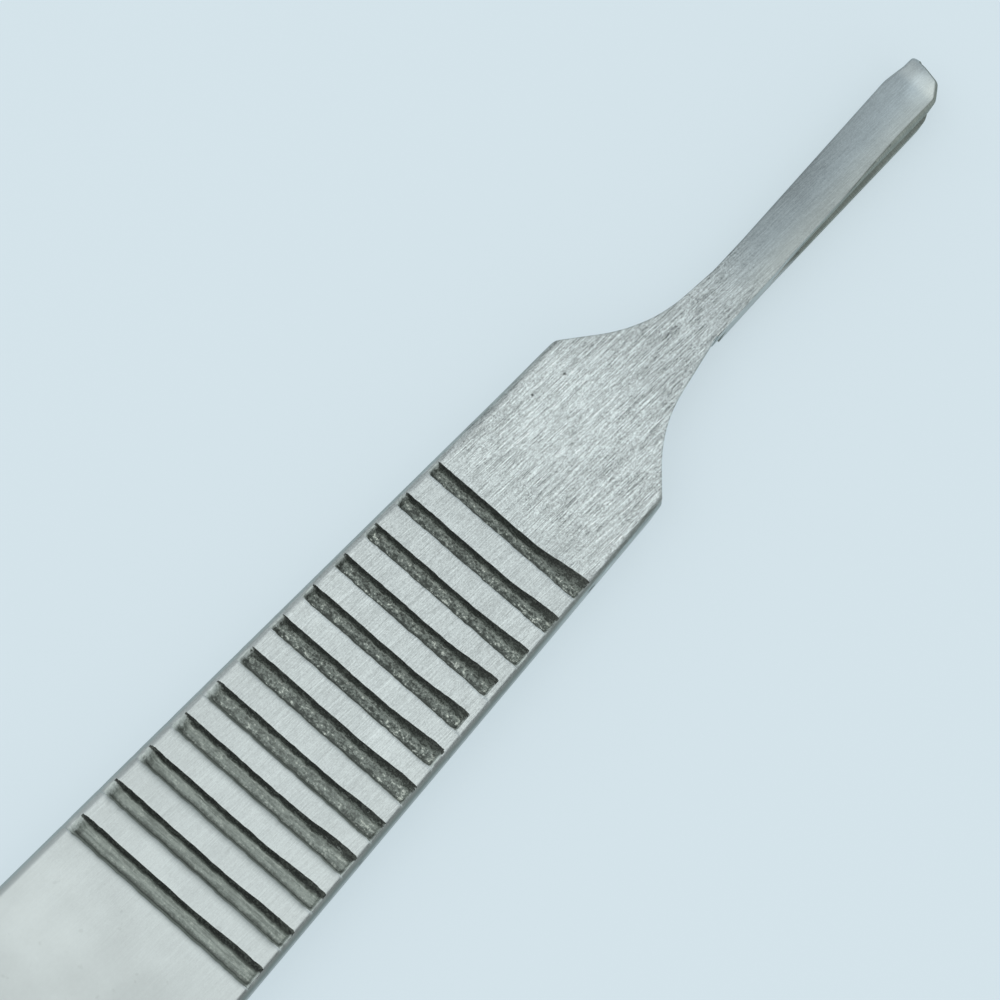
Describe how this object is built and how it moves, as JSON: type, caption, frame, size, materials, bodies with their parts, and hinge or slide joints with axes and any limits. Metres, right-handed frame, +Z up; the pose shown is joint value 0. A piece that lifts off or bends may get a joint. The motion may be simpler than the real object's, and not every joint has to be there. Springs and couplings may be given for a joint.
{
  "type": "scalpel handle",
  "caption": "Flat one-piece steel scalpel handle with cross grooves for grip and a slotted tang that a small-fitting blade slides onto.",
  "frame": {"origin": "centre of the bottom of the bounding box, on the surface that the handle's front face rests on", "axes": "+X along the handle towards the blade end, +Y to the side whose shoulder stands further forward, +Z up out of the back face"},
  "size_m": [0.125, 0.0108, 0.0026],
  "materials": {
    "steel": "satin ground steel, brushed along the handle, with dark rough milled grooves"
  },
  "bodies": {
    "root": {"scalpel_handle": "steel"}
  },
  "joints": []
}
